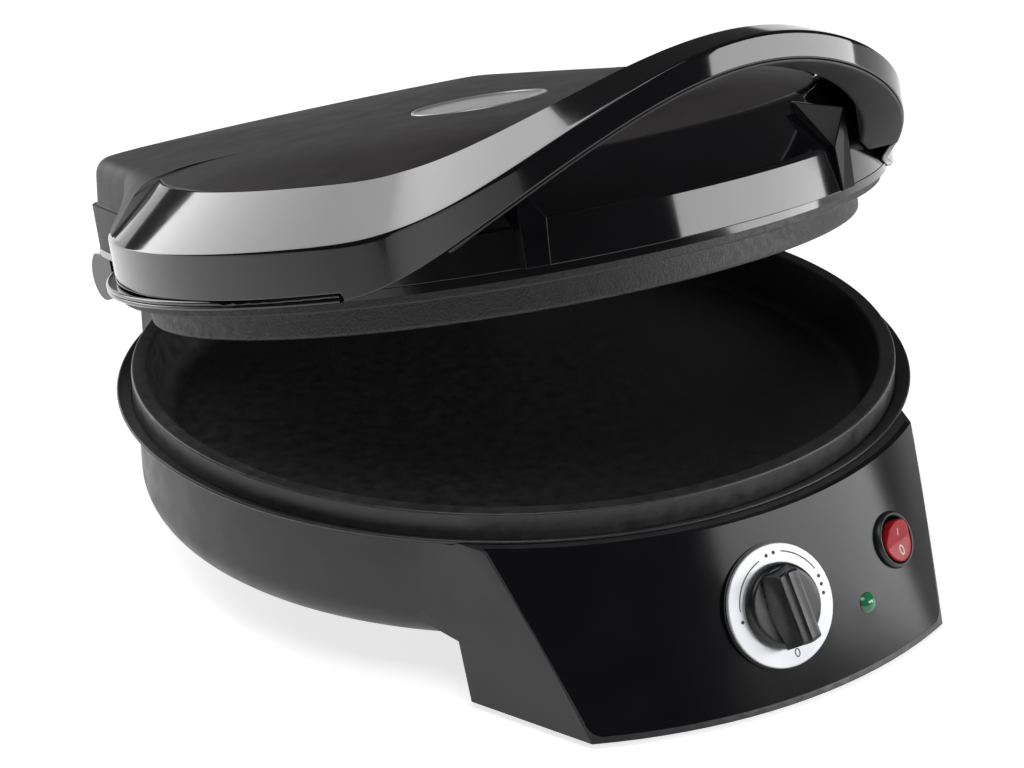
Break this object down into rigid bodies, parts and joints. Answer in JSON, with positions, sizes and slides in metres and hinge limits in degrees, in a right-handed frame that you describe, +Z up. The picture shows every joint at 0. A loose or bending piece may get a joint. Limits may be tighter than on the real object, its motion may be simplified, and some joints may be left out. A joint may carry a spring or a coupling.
{
  "type": "electric pizza maker",
  "caption": "Round countertop electric pizza maker with a baking pan, a sloping control box and a hinged heated lid with an arched handle.",
  "frame": {"origin": "on the table, under the middle of the object's outline at rest", "axes": "+X to the right as seen from the front, +Y towards the hinge at the back, +Z up"},
  "size_m": [0.355, 0.4359, 0.2743],
  "materials": {
    "housing": "satin moulded plastic, dark grey-black",
    "gloss": "high-gloss black plastic",
    "dome": "satin plastic, warm dark grey",
    "grip": "fine-textured grey plastic",
    "pan": "black non-stick coating",
    "bright": "bright aluminised sheet",
    "steel": "plated steel",
    "heater": "heat-stained steel tube",
    "silver": "fine satin silver",
    "knob": "black plastic",
    "red": "translucent red plastic",
    "green": "translucent green plastic",
    "ceramic": "pale heat-proof plastic",
    "brass": "plated brass and steel",
    "wire": "silicone-covered wire",
    "rubber": "black rubber"
  },
  "bodies": {
    "base": {"base_housing": "housing", "rim_ring": "housing", "baking_pan": "pan", "pan_spacers": "steel", "pan_screws": "steel", "lower_reflector": "bright", "lower_element": "heater", "element_clips": "steel", "thermal_fuse": "ceramic", "fascia": "gloss", "dial_ring": "silver", "thermostat": "brass", "switch_body": "knob", "lamp_lens": "green", "lamp_holder": "ceramic", "terminal_block": "ceramic", "base_wiring": "wire", "bottom_cover": "housing", "cover_screws": "steel", "rubber_feet": "rubber", "cord_gland": "knob", "hinge_pins": "steel"},
    "knob": {"control_knob": "knob", "thermostat_shaft": "steel"},
    "rocker": {"switch_rocker": "red"},
    "lid": {"lid_frame": "gloss", "lid_dome": "dome", "handle_cover": "gloss", "grip_cover": "grip", "grip_screws": "steel", "front_surround": "gloss", "front_panel": "gloss", "lid_badge": "silver", "upper_plate": "pan", "plate_screws": "steel", "dome_screws": "steel", "upper_reflector": "bright", "upper_element": "heater", "upper_clips": "steel", "lid_fuse": "ceramic", "lid_wiring": "wire", "hinge_lugs": "gloss", "hinge_bushes": "ceramic"}
  },
  "joints": [
    {"name": "lid_hinge", "type": "hinge", "parent": "base", "child": "lid", "pos_m": [0, 0.1955, 0.0774], "axis": [-1, 0, 0], "range_deg": [-15.4, 79.6]},
    {"name": "knob_turn", "type": "hinge", "parent": "base", "child": "knob", "pos_m": [0, -0.1994, 0.0395], "axis": [0, 0.9078, -0.4195], "range_deg": [0, 268]},
    {"name": "rocker_tilt", "type": "hinge", "parent": "base", "child": "rocker", "pos_m": [0.06991, -0.18308, 0.04216], "axis": [-0.9342, -0.3567, 0], "range_deg": [0, 16]}
  ]
}
